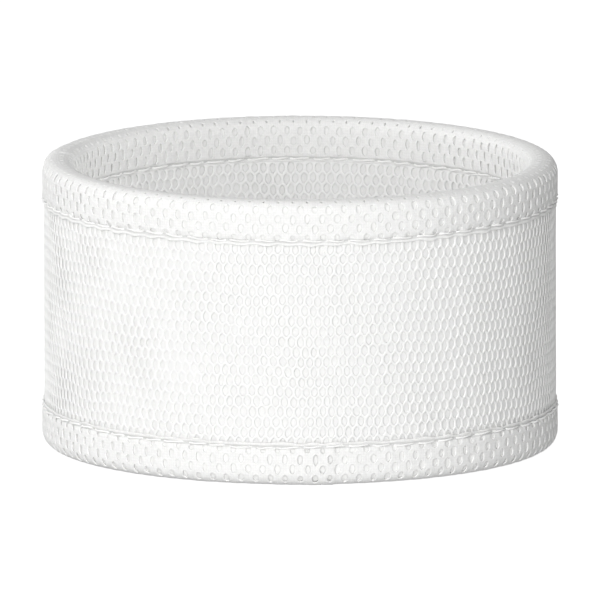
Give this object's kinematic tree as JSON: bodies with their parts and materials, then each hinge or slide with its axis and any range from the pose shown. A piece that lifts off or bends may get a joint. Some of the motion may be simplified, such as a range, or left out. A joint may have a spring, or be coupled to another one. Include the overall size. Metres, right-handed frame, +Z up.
{
  "type": "sweat wristband",
  "caption": "Round padded sweat wristband: white net over an absorbent core, with a stitched mesh binding rolled over each edge.",
  "frame": {"origin": "centre of the ring, on the plane that the lower rim rests on", "axes": "+Z up along the axis that the wrist passes along, -Y towards the front, away from the outer panel's upright join"},
  "size_m": [0.064, 0.064, 0.0358],
  "materials": {
    "outer_net": "fine hexagonal knitted net, soft matt white with a slight sheen",
    "lining_net": "fine hexagonal knitted net, soft matt white",
    "binding": "knitted eyelet mesh, matt white",
    "core": "brushed absorbent padding, matt off-white",
    "elastic": "braided elastic, off-white",
    "thread": "twisted polyester thread, bright white with a soft sheen"
  },
  "bodies": {
    "root": {"outer_net_panel": "outer_net", "outer_panel_join_thread": "thread", "inner_net_panel": "lining_net", "inner_panel_join_thread": "thread", "absorbent_core": "core", "core_join_thread": "thread", "upper_hem_binding": "binding", "lower_hem_binding": "binding", "upper_edge_cord": "elastic", "lower_edge_cord": "elastic", "upper_needle_thread": "thread", "upper_bobbin_thread": "thread", "lower_needle_thread": "thread", "lower_bobbin_thread": "thread"}
  },
  "joints": []
}
